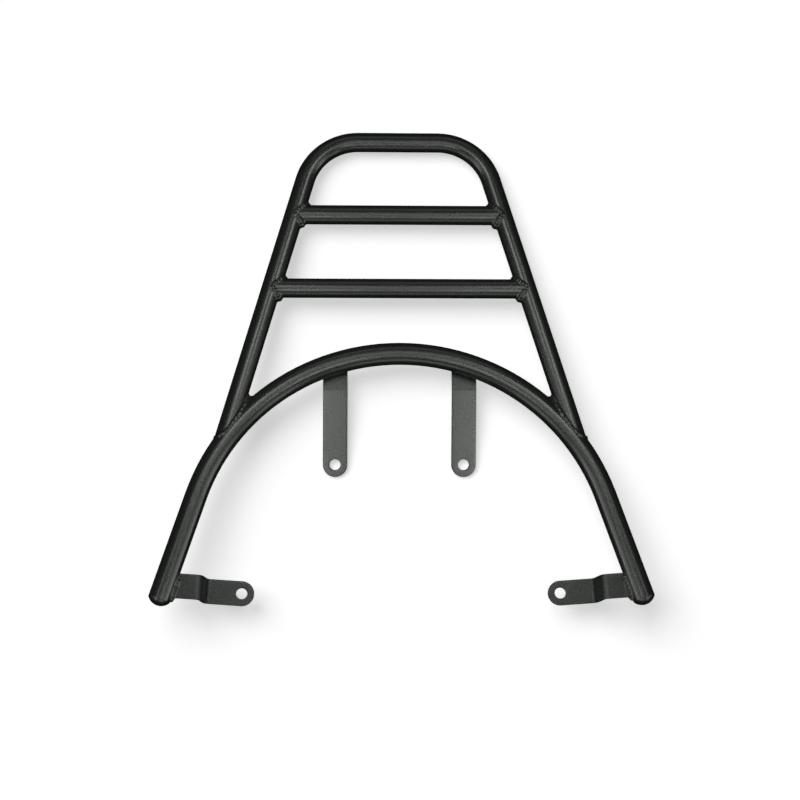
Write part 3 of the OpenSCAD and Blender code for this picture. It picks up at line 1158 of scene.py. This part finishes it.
# The softboxes that the photo's highlights call for, seen from the rack, in metres and watts:
# (across, up, out along the mirrored line of sight, width, height, power). They come in pairs,
# but for those at across 0.
NEAR, WIDE = 0.7, 1.2
SOFTBOXES = (
    (0.0225, 0.08, NEAR, 0.045, 0.12, 0.03),
    (0.0225, 0.22, NEAR, 0.045, 0.16, 0.05),
    (0.065, 0.22, NEAR, 0.04, 0.16, 0.08),
    (0.105, -0.375, NEAR, 0.04, 0.25, 0.20),
    (0.105, -0.175, NEAR, 0.04, 0.15, 0.26),
    (0.105, -0.04, NEAR, 0.04, 0.12, 0.14),
    (0.1475, -0.175, NEAR, 0.045, 0.15, 0.12),
    (0.1475, 0.22, NEAR, 0.045, 0.16, 0.15),
    (0.1475, 0.4, NEAR, 0.045, 0.2, 0.15),
    (0.2, -0.175, NEAR, 0.06, 0.15, 0.15),
    (0.2, 0.4, NEAR, 0.06, 0.2, 0.18),
    (0.275, 0.4, NEAR, 0.09, 0.2, 0.74),
    (0.761, 0.546, 1.172, 0.4, 0.5, 1.26),
    (0.866, -0.866, 0.866, 0.4, 0.5, 1.08),
    (1.011, -1.011, 0.450, 0.4, 0.5, 1.79),
    (1.061, 0, 1.061, 0.4, 0.5, 1.42),
    (1.213, -0.331, 0.818, 0.4, 0.5, 1.63),
    (1.39, -0.399, 0.399, 0.4, 0.5, 3.05),
    (0, -1.427, 0.464, WIDE, 0.35, 1.7),
    (0, -1.324, 0.704, WIDE, 0.35, 1.9),
    (0, 1.359, 0.634, WIDE, 0.35, 1.32),
)


# The floor's disc and its gap under the rack, in metres
FLOOR_RADIUS, FLOOR_SIDES, FLOOR_GAP = 25, 96, 0.0002
# The middle of the picture, what the softboxes face and where the floor's light comes from
PICTURE_MIDDLE = Vector((-0.00048, 0.1555, DECK_Z * MM))
SOFTBOX_AIM = Vector((0, 0.17, 0))
KEY_FROM = Vector((-0.5, 0.3, 1))
# The camera's frame, in millimetres, and how far it sees, in metres
FRAME_WIDTH, FAR_SIGHT = 36, 100


def placed(x, y, z, place):
    """The matrix that turns an object's axes to x, y and z and sets it at the place."""
    return Matrix(
        (
            (x.x, y.x, z.x, place.x),
            (x.y, y.y, z.y, place.y),
            (x.z, y.z, z.z, place.z),
            (0, 0, 0, 1),
        )
    )


def softbox(name, middle, way, upward, width, height, power, lit):
    """A soft rectangular light at middle that shines against way, upright along upward."""
    data = bpy.data.lights.new(name, "AREA")
    data.shape = "RECTANGLE"
    data.size = width
    data.size_y = height
    data.energy = power
    lamp = link_object(name, data)
    x = upward.cross(way).normalized()
    lamp.matrix_world = placed(x, way.cross(x), way, middle)
    lamp.light_linking.receiver_collection = lit


def lay_floor(scene):
    """The floor, which leans to the tips of the straps and the rear bar that the rack lies on."""
    flat = scene.rack_flat
    tip_y = flat.strap_bend_y - (flat.strap_run + flat.width / 2) * math.cos(flat.strap_angle)
    tip_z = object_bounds()[0][2]
    bar_y, bar_z = HOOP_REAR_Y * MM, (DECK_Z - HOOP_R) * MM
    lean = math.atan2(bar_z - tip_z, bar_y - tip_y)
    shape = bmesh.new()
    bmesh.ops.create_circle(shape, cap_ends=True, radius=FLOOR_RADIUS, segments=FLOOR_SIDES)
    turn = Matrix.Rotation(lean, 4, "X")
    middle = Vector((0, (tip_y + bar_y) / 2, (tip_z + bar_z) / 2 - FLOOR_GAP))
    bmesh.ops.transform(shape, matrix=Matrix.Translation(middle) @ turn, verts=shape.verts)
    mesh = bpy.data.meshes.new("floor")
    shape.to_mesh(mesh)
    shape.free()
    mesh.materials.append(plain_floor(scene.rack_stage.floor_colour))
    floor = link_object("floor", mesh)
    floor.visible_glossy = False
    floor.visible_diffuse = False
    floor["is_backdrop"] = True
    return floor


def set_camera(scene):
    """The camera, turned as for the photo. Gives the way from the rack to the camera."""
    stage = scene.rack_stage
    yaw, tilt = stage.camera_yaw, stage.camera_tilt
    level = math.cos(yaw)
    sight = Vector((-math.sin(yaw), -math.sin(tilt) * level, math.cos(tilt) * level))
    across = Vector((0, 1, 0)).cross(sight).normalized()
    upward = sight.cross(across)
    c, s = math.cos(stage.camera_roll), math.sin(stage.camera_roll)
    across, upward = across * c + upward * s, upward * c - across * s
    data = bpy.data.cameras.new("camera")
    data.sensor_width = FRAME_WIDTH
    data.lens = stage.camera_lens
    data.clip_end = FAR_SIGHT
    camera = link_object("camera", data)
    place = PICTURE_MIDDLE + sight * stage.camera_distance
    camera.matrix_world = placed(across, upward, sight, place)
    scene.camera = camera
    return sight


def light_floor(stage):
    """The wide light that whitens the floor and casts the rack's soft shadow on it."""
    key = bpy.data.lights.new("floor_key", "SUN")
    key.energy = stage.key_power
    key.angle = stage.key_angle
    lamp = link_object("floor_key", key)
    lamp.rotation_euler = KEY_FROM.to_track_quat("Z", "Y").to_euler()
    lamp.visible_glossy = False


def light_rack(stage, sight, floor):
    """The softboxes, which light all but the floor, so that it stays evenly white."""
    all_but_floor = bpy.data.collections.new("lit_by_softboxes")
    all_but_floor.objects.link(floor)
    all_but_floor.collection_objects[0].light_linking.link_state = "EXCLUDE"
    mirrored = Vector((-sight.x, sight.y, sight.z))
    across = Vector((0, 1, 0)).cross(mirrored).normalized()
    upward = mirrored.cross(across)
    for row, (x, y, out, width, height, power) in enumerate(SOFTBOXES):
        for word, side in SIDES if x else (("middle", 1),):
            way = across * x * side + upward * y + mirrored * out
            # The near ones stand square to the line of sight, and the others face the rack
            facing = mirrored if out == NEAR else way.normalized()
            softbox(f"softbox_{row}_{word}", SOFTBOX_AIM + way, facing, upward, width, height,
                    power * stage.softbox_power, all_but_floor)


class RACK_OT_stage(RackOperator, Operator):
    """Set the floor, the lights and the camera"""

    bl_idname = "rack.stage"
    bl_label = "Stage"

    def execute(self, context):
        scene = context.scene
        floor = lay_floor(scene)
        # The world gives no light of its own
        world = bpy.data.worlds.new("studio")
        world.use_nodes = True
        world.node_tree.nodes["Background"].inputs["Strength"].default_value = 0
        scene.world = world
        sight = set_camera(scene)
        light_floor(scene.rack_stage)
        light_rack(scene.rack_stage, sight, floor)
        scene.view_settings.view_transform = "Standard"
        return {"FINISHED"}


class RACK_PT_panel(Panel):
    """Lists what makes the rack"""

    bl_idname = "RACK_PT_panel"
    bl_label = "Luggage rack"
    bl_space_type = "VIEW_3D"
    bl_region_type = "UI"
    bl_category = "Rack"

    def draw(self, context):
        for title, group, operators in PARTS:
            box = self.layout.box()
            box.label(text=title)
            settings = getattr(context.scene, group)
            for name in settings.bl_rna.properties.keys():
                if name not in ("rna_type", "name"):
                    box.prop(settings, name)
            for operator in operators:
                box.operator(operator.bl_idname)


GROUPS = (
    ("rack_coat", RackCoatSettings),
    ("rack_flat", RackFlatSettings),
    ("rack_weld", RackWeldSettings),
    ("rack_stage", RackStageSettings),
)
PARTS = (
    ("Tubes", "rack_coat", (RACK_OT_tubes,)),
    ("Flat brackets", "rack_flat", (RACK_OT_straps, RACK_OT_tabs)),
    ("Welds", "rack_weld",
     (RACK_OT_crossbar_welds, RACK_OT_hoop_welds, RACK_OT_strap_welds, RACK_OT_tab_welds)),
    ("Stage", "rack_stage", (RACK_OT_stage,)),
)


def register():
    """Adds the settings, the operators and the panel."""
    for name, group in GROUPS:
        bpy.utils.register_class(group)
        setattr(bpy.types.Scene, name, PointerProperty(type=group))
    for _, _, operators in PARTS:
        for operator in operators:
            bpy.utils.register_class(operator)
    bpy.utils.register_class(RACK_PT_panel)


def unregister():
    """Takes them out again."""
    bpy.utils.unregister_class(RACK_PT_panel)
    for _, _, operators in PARTS:
        for operator in operators:
            bpy.utils.unregister_class(operator)
    for name, group in GROUPS:
        delattr(bpy.types.Scene, name)
        bpy.utils.unregister_class(group)


def main():
    """Makes the rack and its stage."""

    register()
    bpy.ops.rack.tubes()
    bpy.ops.rack.straps()
    bpy.ops.rack.tabs()
    bpy.ops.rack.crossbar_welds()
    bpy.ops.rack.hoop_welds()
    bpy.ops.rack.strap_welds()
    bpy.ops.rack.tab_welds()
    bpy.ops.rack.stage()


if __name__ == "__main__":
    main()
